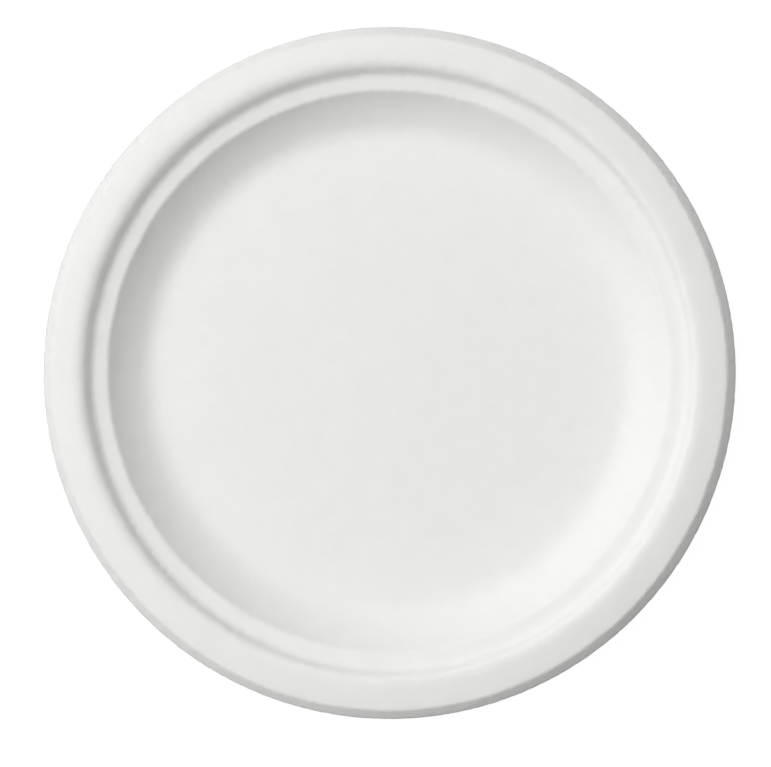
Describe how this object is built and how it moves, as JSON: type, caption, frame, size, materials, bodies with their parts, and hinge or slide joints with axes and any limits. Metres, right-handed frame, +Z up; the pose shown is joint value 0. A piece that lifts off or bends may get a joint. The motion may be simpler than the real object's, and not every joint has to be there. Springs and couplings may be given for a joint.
{
  "type": "paper plate",
  "caption": "Round white moulded-fibre plate with a flat floor, a sloping side, a narrow ledge, and a broad brim turned down at its edge.",
  "frame": {"origin": "centre of the underside of the floor, where the plate stands", "axes": "+Z up, along the plate's axis; X and Y lie in the table's plane, and the plate is the same in every direction around Z"},
  "size_m": [0.23, 0.23, 0.018],
  "materials": {
    "fibre": "matte"
  },
  "bodies": {
    "root": {"plate": "fibre"}
  },
  "joints": []
}
